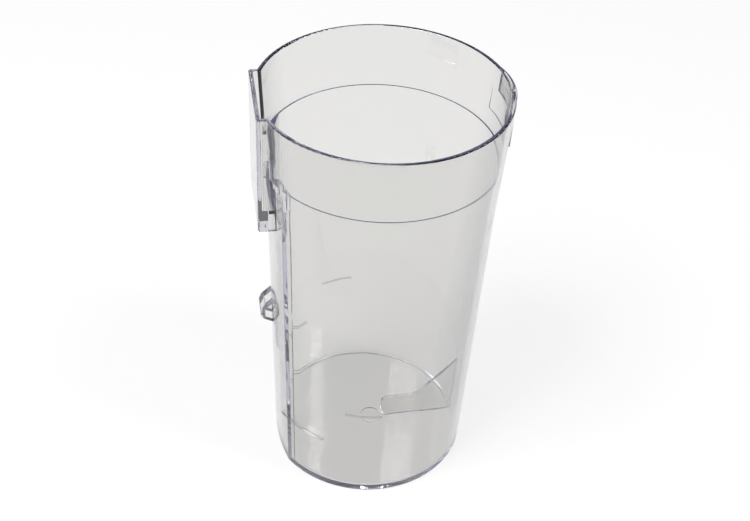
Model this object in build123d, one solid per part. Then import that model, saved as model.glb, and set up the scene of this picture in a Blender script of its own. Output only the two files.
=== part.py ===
"""Clear dust bin of a cordless vacuum: one moulded cup.

Frame: the axis is Z, the underside of the floor is z = 0 and +Z is up. The land with the slide box and the lug is on
the -X side, the latch pad and the fin are on the +X side, and the XZ plane is the plane of symmetry.
"""
import os
from math import cos, isclose, radians, tan

from build123d import *

# Round wall, in millimetres and degrees
HEIGHT = 212.7  # underside of the floor to the rim
RIM_RADIUS = 58.5  # outside of the rim
FLARE_DEPTH = 59.7  # from the rim down to where the wall stops flaring
FLARE_DRAFT = 2.6  # lean of the flared part
WALL_DRAFT = 1.27  # lean of the wall below it
WALL = 2.75
FLOOR = 2.2
FOOT_ROUND = 1.2  # outer edge of the floor
FLOOR_ROUND = 2.0  # inner corner between floor and wall
RIM_ROUND = 0.6

# Seat for the cyclone unit's seal, where the wall is thinner from the rim down to a small ledge
SEAT_DEPTH = 31.6
SEAT_WALL = 2.0

# Land down the -X side, where the wall is flatter and thicker from the floor to the ledge
LAND_DEPTH = 3.3  # how far its middle lies inside the round wall
LAND_RADIUS = 92.0  # at the floor
LAND_WALL = 3.6
LAND_ROUND = 3.0  # soft corner between the land and the round wall

# Slide box at the top of the land: an open recess inside, a lip and a gap below
BOX_WIDTH = 42.6  # outside
BOX_HEIGHT = 59.7  # from the rim down
BOX_WALL = 2.1
BOX_ROUND = 1.0
PLATE = 1.9  # outer wall of the box, which touches the rim's circle
RECESS_DEPTH = 48.7  # from the rim down
RECESS_FLOOR = 2.0
RECESS_ROUND = 1.5  # upright edges where the recess opens into the bin
LIP = 4.7  # thickness of the box below its floor, plate included

# Two low ribs inside, from the floor to the ledge, that run out into the land's thicker wall
RIB_START = 29.0  # angles from the middle of the land
RIB_END = 34.6
RIB_DEPTH = 0.6

# Beads low on the outside, on both sides of the land
BEAD_HEIGHT = 35.3
BEAD_START = 26.0  # angles from the middle of the land
BEAD_END = 56.5
BEAD_TALL = 1.0
BEAD_PROUD = 0.9

# Level lines on the outside, on both sides
LEVEL_HEIGHT = 58.0
LEVEL_START = 92.0  # angles from +X
LEVEL_END = 111.5
LEVEL_TALL = 0.6
LEVEL_PROUD = 0.5

# Latch pad at the rim, a bulge with a slot that is open at the top
PAD_DEPTH = 23.2  # from the rim down
PAD_ANGLE = 14.0  # from its middle to where it runs out into the rim
PAD_END = 3.6  # angle between the slot's end and the pad's end
PAD_WIDTH = 33.0
PAD_WALL = 1.25  # outside the slot, at the middle of the pad
SLOT_DEPTH = 10.3
SLOT_SKIN = 0.75  # wall between the slot and the seat
SLOT_GAP = 1.0

# Catch groove, a short line in the slot's inner wall
GROOVE_DEPTH = 0.35
GROOVE_TALL = 0.8
GROOVE_PLACE = 4.2  # from the rim down
GROOVE_ANGLE = 3.0  # to each side of the plane of symmetry

# Fin on the floor, joined to the wall under the latch pad
FIN_START = 9.0  # from the axis
FIN_THICK = 1.6
FIN_LOW = 16.2  # height of its level top
FIN_BEND = 27.5  # from the axis, where its top starts to rise
FIN_SLOPE = 46.0
FIN_ROUND = 4.0
FIN_BEND_ROUND = 8.0

# Gate dimple in the floor, at the foot of the fin
GATE_PLACE = 3.2  # from the axis
GATE_RADIUS = 5.3
GATE_DEPTH = 0.8

# Lug on the land: two ramped teeth joined by a bar
LUG_TOP = 95.5  # height of the ramp's upper end
LUG_REACH = 5.8
LUG_RAMP = 5.6  # fall of the ramp
LUG_EDGE = 3.4  # height of its outer edge
LUG_TALL = 12.0  # height where it meets the land
LUG_WIDTH = 13.5
TOOTH_WIDTH = 4.2
LUG_BAR = 2.6
LUG_ROUND = 2.4

# Worked out from the above
FLARE_Z = HEIGHT - FLARE_DEPTH
FLARE_RADIUS = RIM_RADIUS - FLARE_DEPTH * tan(radians(FLARE_DRAFT))
BASE_RADIUS = FLARE_RADIUS - FLARE_Z * tan(radians(WALL_DRAFT))
LEDGE_Z = HEIGHT - SEAT_DEPTH
BOX_Z = HEIGHT - BOX_HEIGHT
RECESS_Z = HEIGHT - RECESS_DEPTH
OVER = 1.0  # how far a cut runs past the face that it opens


def outside(z):
    """Outer radius of the round wall at a height."""
    if z > FLARE_Z:
        return FLARE_RADIUS + (z - FLARE_Z) * tan(radians(FLARE_DRAFT))
    return BASE_RADIUS + z * tan(radians(WALL_DRAFT))


def inside(z):
    """Inner radius of the round wall below the ledge."""
    return outside(z) - WALL


def seat(z):
    """Inner radius of the wall above the ledge."""
    return outside(z) - SEAT_WALL


def land(z):
    """Distance of the land's middle from the axis at a height, outside."""
    return BASE_RADIUS - LAND_DEPTH + z * tan(radians(WALL_DRAFT))


def turned(points, arc=360.0, middle=0.0):
    """Solid turned about the axis from an outline of (radius, height) points, over an arc centred on an angle."""
    face = Plane.XZ * make_face(Polyline(points, close=True))
    return Rot(0, 0, middle - arc / 2) * revolve(face, Axis.Z, revolution_arc=arc)


def slab(points, half):
    """Solid of an outline of (x, z) points, reaching to each side of the plane of symmetry."""
    return extrude(Plane.XZ * make_face(Polyline(points, close=True)), half, both=True)


def block(x0, x1, half, z0, z1):
    """Box between two x and two z, reaching to each side of the plane of symmetry."""
    return Pos(x0, 0, z0) * Box(x1 - x0, 2 * half, z1 - z0, align=(Align.MIN, Align.CENTER, Align.MIN))


def beyond_land(inset, z0, z1):
    """Everything past the land's face, moved in by an inset, between two heights."""
    centre = LAND_RADIUS - land(0)
    face = [(centre + land(z) - inset, z) for z in (z0, z1)]
    within = Pos(centre, 0, 0) * turned([(0, z0)] + face + [(0, z1)])
    return block(-2 * RIM_RADIUS, 0, RIM_RADIUS, z0, z1) - within


def round_body():
    """The solid outside form of the wall with its land, before it is hollowed."""
    whole = turned([(0, 0), (BASE_RADIUS, 0), (FLARE_RADIUS, FLARE_Z), (RIM_RADIUS, HEIGHT), (0, HEIGHT)])
    flattened = whole - beyond_land(0, -OVER, HEIGHT + OVER)
    upright = flattened.edges().filter_by(lambda e: e.bounding_box().size.Z > WALL)
    land_corners = upright.filter_by(lambda e: e.center().X < 0 and abs(e.center().Y) > WALL)
    round_top = whole & block(-RIM_RADIUS, RIM_RADIUS, RIM_RADIUS, LEDGE_Z - WALL, HEIGHT)
    body = fillet(land_corners, LAND_ROUND) + round_top
    return fillet(body.edges().group_by(Axis.Z)[0], FOOT_ROUND)


def cavity():
    """The space inside the wall, with the seat, the ledge and the land's inner face."""
    wall = [(inside(FLOOR), FLOOR), (inside(FLARE_Z), FLARE_Z), (inside(LEDGE_Z), LEDGE_Z)]
    mouth = [(seat(LEDGE_Z), LEDGE_Z), (seat(HEIGHT + OVER), HEIGHT + OVER), (0, HEIGHT + OVER)]
    space = turned([(0, FLOOR)] + wall + mouth)
    space -= beyond_land(LAND_WALL, FLOOR - OVER, LEDGE_Z)
    return fillet(space.edges().group_by(Axis.Z)[0], FLOOR_ROUND)


def slide_box():
    """The box's outside, a block that stands on the rim's circle."""
    box = block(-RIM_RADIUS, -inside(BOX_Z) / 2, BOX_WIDTH / 2, BOX_Z, HEIGHT)
    corners = box.edges().filter_by(Axis.Z).group_by(Axis.X)[0]
    foot = box.edges().filter_by(Axis.Y).group_by(Axis.Z)[0].group_by(Axis.X)[0]
    return fillet(corners + foot, BOX_ROUND)


def box_recess():
    """The box's inside, open to the bin and at the rim."""
    half = BOX_WIDTH / 2 - BOX_WALL
    recess = block(PLATE - RIM_RADIUS, -inside(BOX_Z) / 2, half, RECESS_Z, HEIGHT + OVER)
    return fillet(recess.edges().filter_by(Axis.Z).group_by(Axis.X)[0], BOX_ROUND)


def recess_edges(body):
    """The upright edges of a body where the recess opens into the bin."""
    half = BOX_WIDTH / 2 - BOX_WALL
    sides = body.edges().filter_by(lambda e: isclose(abs(e.center().Y), half, abs_tol=BOX_WALL / 100))
    leaning = sides.filter_by(Axis.Z, reverse=True)
    return leaning.filter_by(lambda e: e.bounding_box().size.Z > WALL)


def box_gap():
    """The gap under the box's floor, between its lip and the land, open at the bottom."""
    top = RECESS_Z - RECESS_FLOOR
    low = BOX_Z - OVER
    return block(LIP - RIM_RADIUS, 0, BOX_WIDTH / 2 - BOX_WALL, low, top) & beyond_land(0, low, top)


def latch_pad():
    """A shallow upright bulge with straight sides, round, that meets the rim's circle before its two ends."""
    reach = seat(HEIGHT) + SLOT_SKIN + SLOT_GAP + PAD_WALL
    centre = (reach**2 - RIM_RADIUS**2) / (2 * (reach - RIM_RADIUS * cos(radians(PAD_ANGLE))))
    pad = Cylinder(reach - centre, PAD_DEPTH, align=(Align.CENTER, Align.CENTER, Align.MIN))
    low = HEIGHT - PAD_DEPTH
    return Pos(centre, 0, low) * pad & block(0, reach, PAD_WIDTH / 2, low, HEIGHT)


def latch_slot():
    """The slot in the pad, behind a thin skin of the seat, with the catch groove in its inner wall."""
    heights = [HEIGHT - SLOT_DEPTH, HEIGHT + OVER]
    near = [(seat(z) + SLOT_SKIN, z) for z in heights]
    far = [(seat(z) + SLOT_SKIN + SLOT_GAP, z) for z in reversed(heights)]
    slot = turned(near + far, 2 * (PAD_ANGLE - PAD_END))
    top = HEIGHT - GROOVE_PLACE
    root = seat(top) + SLOT_SKIN
    bottom = root - GROOVE_DEPTH
    front = root + SLOT_GAP / 2
    low = top - GROOVE_TALL
    return slot + turned([(bottom, low), (front, low), (front, top), (bottom, top)], 2 * GROOVE_ANGLE)


def rib(side):
    """A low rib inside the wall, on one side of the land."""
    root = WALL / 2
    heights = [FLOOR / 2, FLARE_Z, LEDGE_Z]
    face = [(inside(z) - RIB_DEPTH, z) for z in heights]
    back = [(inside(z) + root, z) for z in reversed(heights)]
    return turned(face + back, RIB_END - RIB_START, 180 + side * (RIB_START + RIB_END) / 2)


def raised_line(height, tall, proud, start, end):
    """A line that stands proud of the outside wall, between two angles from +X."""
    low = height - tall / 2
    top = height + tall / 2
    root = WALL / 2
    outline = [
        (outside(low) - root, low),
        (outside(low) + proud, low),
        (outside(top) + proud, top),
        (outside(top) - root, top),
    ]
    return turned(outline, abs(end - start), (start + end) / 2)


def fin():
    """An upright plate on the floor, level at its inner end and rising to the wall."""
    root = FLOOR / 2
    reach = inside(FIN_LOW) + WALL / 2
    high = FIN_LOW + (reach - FIN_BEND) * tan(radians(FIN_SLOPE))
    outline = [(FIN_START, root), (FIN_START, FIN_LOW), (FIN_BEND, FIN_LOW), (reach, high), (reach, root)]
    face = make_face(Polyline(outline, close=True))
    start = face.vertices().sort_by_distance((FIN_START, FIN_LOW))[0]
    face = fillet(start, FIN_ROUND)
    bend = face.vertices().sort_by_distance((FIN_BEND, FIN_LOW))[0]
    face = fillet(bend, FIN_BEND_ROUND)
    return extrude(Plane.XZ * face, FIN_THICK / 2, both=True)


def gate_dimple():
    """A round dimple in the floor."""
    dimple = Cylinder(GATE_RADIUS, GATE_DEPTH + OVER, align=(Align.CENTER, Align.CENTER, Align.MIN))
    return Pos(GATE_PLACE, 0, FLOOR - GATE_DEPTH) * dimple


def lug():
    """Two ramped teeth on the land, with a bar across their outer ends and round outer corners."""
    root = WALL / 2
    tip = LUG_TOP - LUG_RAMP
    low = LUG_TOP - LUG_TALL
    reach = land(LUG_TOP) + LUG_REACH
    tooth = [
        (root - land(LUG_TOP), LUG_TOP),
        (-land(LUG_TOP), LUG_TOP),
        (-reach, tip),
        (-reach, tip - LUG_EDGE),
        (-land(low), low),
        (root - land(low), low),
    ]
    plan = block(-reach, root - land(low), LUG_WIDTH / 2, low, LUG_TOP)
    corners = plan.edges().filter_by(Axis.Z).group_by(Axis.X)[0]
    between = block(LUG_BAR - reach, 0, LUG_WIDTH / 2 - TOOTH_WIDTH, low - OVER, LUG_TOP + OVER)
    return slab(tooth, LUG_WIDTH / 2) & fillet(corners, LUG_ROUND) - between


def dust_bin():
    """The whole moulding."""
    body = round_body() + slide_box() + latch_pad()
    body -= cavity()
    body -= box_recess()
    body = fillet(recess_edges(body), RECESS_ROUND)
    body = fillet(body.edges().group_by(Axis.Z)[-1], RIM_ROUND)
    body -= box_gap()
    body -= latch_slot()
    for side in (-1, 1):
        body += rib(side)
        body += raised_line(BEAD_HEIGHT, BEAD_TALL, BEAD_PROUD, 180 + side * BEAD_START, 180 + side * BEAD_END)
        body += raised_line(LEVEL_HEIGHT, LEVEL_TALL, LEVEL_PROUD, side * LEVEL_START, side * LEVEL_END)
    body += fin()
    body += lug()
    return body - gate_dimple()


os.makedirs("parts", exist_ok=True)
export_step(dust_bin(), "parts/dust_bin.step")
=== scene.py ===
from math import cos, radians, sin

import bmesh
import bpy
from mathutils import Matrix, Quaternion, Vector


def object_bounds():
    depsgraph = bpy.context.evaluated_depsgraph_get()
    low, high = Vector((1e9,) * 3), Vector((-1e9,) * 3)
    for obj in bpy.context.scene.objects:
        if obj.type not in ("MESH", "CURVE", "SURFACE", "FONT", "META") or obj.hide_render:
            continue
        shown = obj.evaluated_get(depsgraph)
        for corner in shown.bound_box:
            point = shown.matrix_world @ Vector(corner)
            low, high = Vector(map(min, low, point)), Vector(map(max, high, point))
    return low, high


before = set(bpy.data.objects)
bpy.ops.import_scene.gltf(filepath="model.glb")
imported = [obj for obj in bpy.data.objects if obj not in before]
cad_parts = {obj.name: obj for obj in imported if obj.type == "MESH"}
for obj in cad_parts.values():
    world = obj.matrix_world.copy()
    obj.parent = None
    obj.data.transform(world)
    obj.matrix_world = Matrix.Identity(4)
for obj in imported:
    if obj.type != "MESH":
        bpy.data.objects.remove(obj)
cad_low, cad_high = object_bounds()

# Picture
IMAGE_WIDTH = 750  # pixels
FOCAL_LENGTH = 1170.0  # pixels
SENSOR = 36.0  # millimetres

# Camera, about the middle of the bin's axis, in degrees and metres
AZIMUTH = -11.38
ELEVATION = 40.51
DISTANCE = 0.5848
AIM = (0.0005, 0, 0.1133)
ROLL = 3.58
CLIP_START = 0.01

# Clear plastic
IOR = 1.58
TINT = (0.81, 0.815, 0.79, 1)
TINT_VARIED = (0.84, 0.825, 0.82, 1)
FLOW_SCALE = 14.0  # of the soft change between the two tints
FLOW_DETAIL = 3.0
PAINTED_EDGE_SHADE = (0.4, 0.4, 0.41, 1)  # painted shade where the surface turns away from the camera, standing in for darker reflections at the edges
PAINTED_EDGE_SHADE_START = 0.45
PAINTED_EDGE_SHADE_END = 0.95
HAZE_SCALE = 90.0  # of the spots that are polished less
HAZE_DETAIL = 6.0
HAZE_START = 0.45
HAZE_END = 0.8
HAZE_ROUGHNESS = 0.05
RIPPLE_SCALE = 60.0
RIPPLE_DETAIL = 2.0
RIPPLE_STRENGTH = 0.4
RIPPLE_HEIGHT = 0.0001
DEPTH_TINT = (0.28, 0.29, 0.52, 1)
DEPTH_DENSITY = 9.0
LIGHT_BOUNCES = 64  # enough for light to leave the walls again

# Stage, in metres
STAGE_RADIUS = 11.0
STAGE_WALL = 2.8  # height of the backdrop round the floor
STAGE_DROP = 0.0003  # keeps the floor clear of the bin's underside
STAGE_CORNERS = 96
STAGE_WHITE = (0.97, 0.97, 0.97, 1)
STAGE_GLOW = 0.76  # share of plain white that the floor shows, and the rest shows the shadow

# Light
SURROUND = (0.2, 0.2, 0.21, 1)
LAMP_AIM = Vector((0, 0, 0.1))
LAMPS = {  # place and size in metres, power in watts
    "key": ((-0.8, -0.4, 1.5), (0.8, 0.8), 25),
    "fill": ((0.9, -0.5, 1.5), (0.4, 0.9), 13),
}


def add_object(name, data):
    """Puts a mesh, lamp or camera in the scene under a name."""
    item = bpy.data.objects.new(name, data)
    bpy.context.scene.collection.objects.link(item)
    return item


def add_camera():
    """The camera at the photograph's viewing angle."""
    camera = add_object("camera", bpy.data.cameras.new("camera"))
    camera.data.sensor_width = SENSOR
    camera.data.lens = FOCAL_LENGTH * SENSOR / IMAGE_WIDTH
    camera.data.clip_start = CLIP_START
    azimuth = radians(AZIMUTH)
    elevation = radians(ELEVATION)
    back = Vector((sin(azimuth) * cos(elevation), -cos(azimuth) * cos(elevation), sin(elevation)))
    centre = Vector((0, 0, (cad_low.z + cad_high.z) / 2))
    camera.location = centre + back * DISTANCE
    camera.rotation_mode = "QUATERNION"
    look = Vector(AIM) - camera.location
    camera.rotation_quaternion = look.to_track_quat("-Z", "Y") @ Quaternion((0, 0, 1), radians(ROLL))
    bpy.context.scene.camera = camera


def add_noise(nodes, links, place, scale, detail):
    """Soft noise by place on the object, as a value socket."""
    noise = nodes.new("ShaderNodeTexNoise")
    noise.inputs["Scale"].default_value = scale
    noise.inputs["Detail"].default_value = detail
    links.new(place, noise.inputs["Vector"])
    return noise.outputs["Fac"]


def add_range(nodes, links, value, start, end, top):
    """A value that rises from 0 to a top while another goes from start to end, as a socket."""
    ramp = nodes.new("ShaderNodeMapRange")
    ramp.inputs["From Min"].default_value = start
    ramp.inputs["From Max"].default_value = end
    ramp.inputs["To Min"].default_value = 0.0
    ramp.inputs["To Max"].default_value = top
    links.new(value, ramp.inputs["Value"])
    return ramp.outputs["Result"]


def add_tint_and_shade_mix(nodes, links, share, other):
    """A mix towards another colour by a share, used for the tone and for the painted shade: a node
    whose first colour is still to be given.
    """
    mix = nodes.new("ShaderNodeMix")
    mix.data_type = "RGBA"
    mix.inputs["B"].default_value = other
    links.new(share, mix.inputs["Factor"])
    return mix


def clear_plastic():
    """Polished clear polycarbonate with a faint violet tint, and with painted shade where the surface
    turns away from the camera.
    """
    material = bpy.data.materials.new("clear_plastic")
    material.use_nodes = True
    nodes = material.node_tree.nodes
    links = material.node_tree.links
    shader = nodes["Principled BSDF"]
    shader.inputs["IOR"].default_value = IOR
    shader.inputs["Transmission Weight"].default_value = 1.0
    place = nodes.new("ShaderNodeTexCoord").outputs["Object"]

    flow = add_noise(nodes, links, place, FLOW_SCALE, FLOW_DETAIL)
    tint = add_tint_and_shade_mix(nodes, links, flow, TINT_VARIED)
    tint.inputs["A"].default_value = TINT
    # Painted shade: the colour darkens towards the edges, where the surface turns away from the
    # camera.
    facing = nodes.new("ShaderNodeLayerWeight").outputs["Facing"]
    painted_edge_shade_share = add_range(nodes, links, facing, PAINTED_EDGE_SHADE_START, PAINTED_EDGE_SHADE_END, 1.0)
    painted_edge_shade = add_tint_and_shade_mix(nodes, links, painted_edge_shade_share, PAINTED_EDGE_SHADE)
    links.new(tint.outputs["Result"], painted_edge_shade.inputs["A"])
    links.new(painted_edge_shade.outputs["Result"], shader.inputs["Base Color"])

    spots = add_noise(nodes, links, place, HAZE_SCALE, HAZE_DETAIL)
    haze = add_range(nodes, links, spots, HAZE_START, HAZE_END, HAZE_ROUGHNESS)
    links.new(haze, shader.inputs["Roughness"])

    ripple = nodes.new("ShaderNodeBump")
    ripple.inputs["Strength"].default_value = RIPPLE_STRENGTH
    ripple.inputs["Distance"].default_value = RIPPLE_HEIGHT
    links.new(add_noise(nodes, links, place, RIPPLE_SCALE, RIPPLE_DETAIL), ripple.inputs["Height"])
    links.new(ripple.outputs["Normal"], shader.inputs["Normal"])

    absorption = nodes.new("ShaderNodeVolumeAbsorption")
    absorption.inputs["Color"].default_value = DEPTH_TINT
    absorption.inputs["Density"].default_value = DEPTH_DENSITY
    links.new(absorption.outputs["Volume"], nodes["Material Output"].inputs["Volume"])
    return material


def add_greater(nodes, links, first, second):
    """The greater of two values, as a socket."""
    step = nodes.new("ShaderNodeMath")
    step.operation = "MAXIMUM"
    links.new(first, step.inputs[0])
    links.new(second, step.inputs[1])
    return step.outputs[0]


def stage_white():
    """White that shows as plain white in views, mirror images and glass, and still takes a shadow."""
    material = bpy.data.materials.new("stage_white")
    material.use_nodes = True
    nodes = material.node_tree.nodes
    links = material.node_tree.links
    shader = nodes["Principled BSDF"]
    shader.inputs["Base Color"].default_value = STAGE_WHITE
    shader.inputs["Roughness"].default_value = 1.0
    shader.inputs["Specular IOR Level"].default_value = 0.0
    seen = nodes.new("ShaderNodeLightPath").outputs
    shown = add_greater(nodes, links, seen["Is Camera Ray"], seen["Is Glossy Ray"])
    shown = add_greater(nodes, links, shown, seen["Is Transmission Ray"])
    share = nodes.new("ShaderNodeMath")
    share.operation = "MULTIPLY"
    share.inputs[1].default_value = STAGE_GLOW
    links.new(shown, share.inputs[0])
    glow = nodes.new("ShaderNodeEmission")
    mix = nodes.new("ShaderNodeMixShader")
    links.new(share.outputs[0], mix.inputs[0])
    links.new(shader.outputs[0], mix.inputs[1])
    links.new(glow.outputs[0], mix.inputs[2])
    links.new(mix.outputs[0], nodes["Material Output"].inputs["Surface"])
    return material


def add_stage():
    """A white floor that keeps the bin's shadow, with a low backdrop far round it."""
    shape = bmesh.new()
    bmesh.ops.create_circle(shape, cap_ends=True, segments=STAGE_CORNERS, radius=STAGE_RADIUS)
    raised = bmesh.ops.extrude_edge_only(shape, edges=shape.edges[:])["geom"]
    top = [corner for corner in raised if isinstance(corner, bmesh.types.BMVert)]
    bmesh.ops.translate(shape, verts=top, vec=(0, 0, STAGE_WALL))
    mesh = bpy.data.meshes.new("stage")
    shape.to_mesh(mesh)
    shape.free()
    mesh.materials.append(stage_white())
    stage = add_object("stage", mesh)
    stage.location.z = cad_low.z - STAGE_DROP


def add_lamp(name, place, size, power):
    """A soft lamp that faces the middle of the bin."""
    light = bpy.data.lights.new(name, "AREA")
    light.shape = "RECTANGLE"
    light.size, light.size_y = size
    light.energy = power
    lamp = add_object(name, light)
    lamp.location = place
    lamp.rotation_mode = "QUATERNION"
    lamp.rotation_quaternion = (Vector(place) - LAMP_AIM).to_track_quat("Z", "Y")


def add_world():
    """Dim even light from all round."""
    world = bpy.data.worlds.new("world")
    bpy.context.scene.world = world
    world.use_nodes = True
    world.node_tree.nodes["Background"].inputs["Color"].default_value = SURROUND


add_camera()
add_world()
add_stage()
for name, (place, size, power) in LAMPS.items():
    add_lamp(name, place, size, power)
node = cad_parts["dust_bin"]
node.data.materials.clear()
node.data.materials.append(clear_plastic())
scene = bpy.context.scene
scene.view_settings.view_transform = "Standard"
scene.cycles.max_bounces = LIGHT_BOUNCES
scene.cycles.glossy_bounces = LIGHT_BOUNCES
scene.cycles.transmission_bounces = LIGHT_BOUNCES
